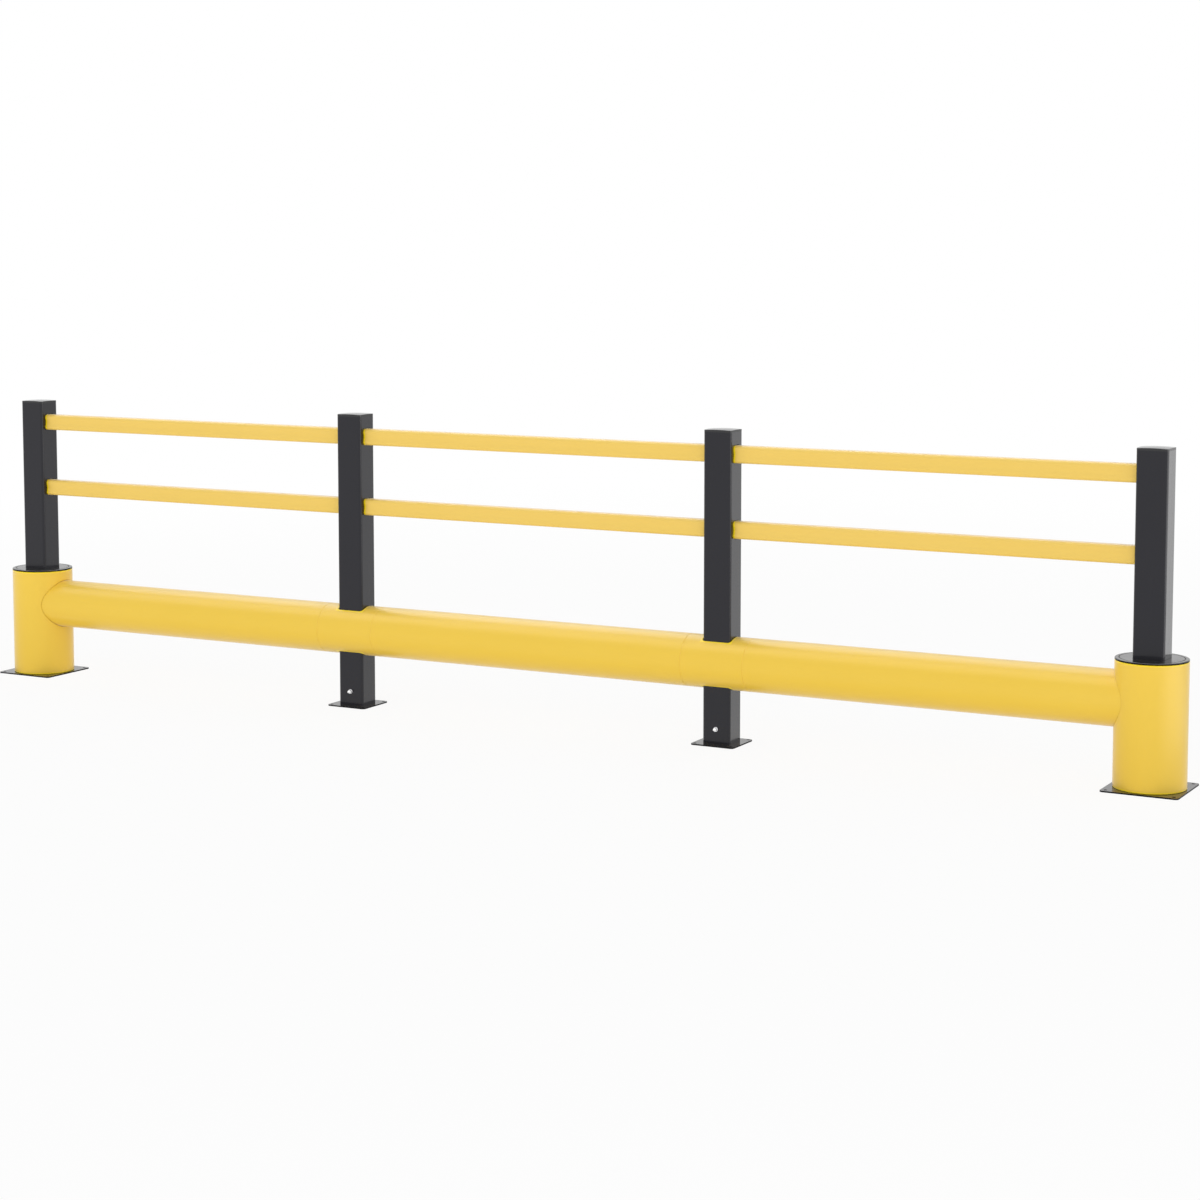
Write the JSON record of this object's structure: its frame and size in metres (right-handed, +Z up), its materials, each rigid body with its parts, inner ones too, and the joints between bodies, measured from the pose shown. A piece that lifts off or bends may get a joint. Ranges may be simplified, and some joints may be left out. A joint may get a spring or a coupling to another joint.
{
  "type": "flexible impact guardrail",
  "caption": "Long low guardrail on floor plates: dark posts, slim yellow handrails and a wide yellow impact rail held in end bollards.",
  "frame": {"origin": "on the floor, in the middle of the run, midway between the two middle posts", "axes": "+X along the rails, +Y away from the front where the nuts of the foot bolts are, +Z up"},
  "size_m": [4.841, 0.257, 1.105],
  "materials": {
    "yellow_plastic": "satin moulded yellow polymer",
    "post_plastic": "satin charcoal black polymer",
    "cap_plastic": "satin black moulded polymer",
    "lid_plastic": "satin black moulded polymer",
    "plate_coating": "glossy black powder coat on steel",
    "bolt_steel": "bright stainless steel"
  },
  "bodies": {
    "root": {"end_plate_left": "plate_coating", "mid_plate_left": "plate_coating", "mid_plate_right": "plate_coating", "end_plate_right": "plate_coating", "bollard_left": "yellow_plastic", "bollard_right": "yellow_plastic", "bollard_lid_left": "lid_plastic", "bollard_lid_right": "lid_plastic", "post_1": "post_plastic", "post_2": "post_plastic", "post_3": "post_plastic", "post_4": "post_plastic", "post_cap_1": "cap_plastic", "post_cap_2": "cap_plastic", "post_cap_3": "cap_plastic", "post_cap_4": "cap_plastic", "impact_rail_left": "yellow_plastic", "impact_rail_middle": "yellow_plastic", "impact_rail_right": "yellow_plastic", "rail_joint_left": "yellow_plastic", "rail_joint_right": "yellow_plastic", "top_handrail_left": "yellow_plastic", "top_handrail_middle": "yellow_plastic", "top_handrail_right": "yellow_plastic", "mid_handrail_left": "yellow_plastic", "mid_handrail_middle": "yellow_plastic", "mid_handrail_right": "yellow_plastic", "foot_bolt_left": "bolt_steel", "foot_bolt_right": "bolt_steel"}
  },
  "joints": []
}
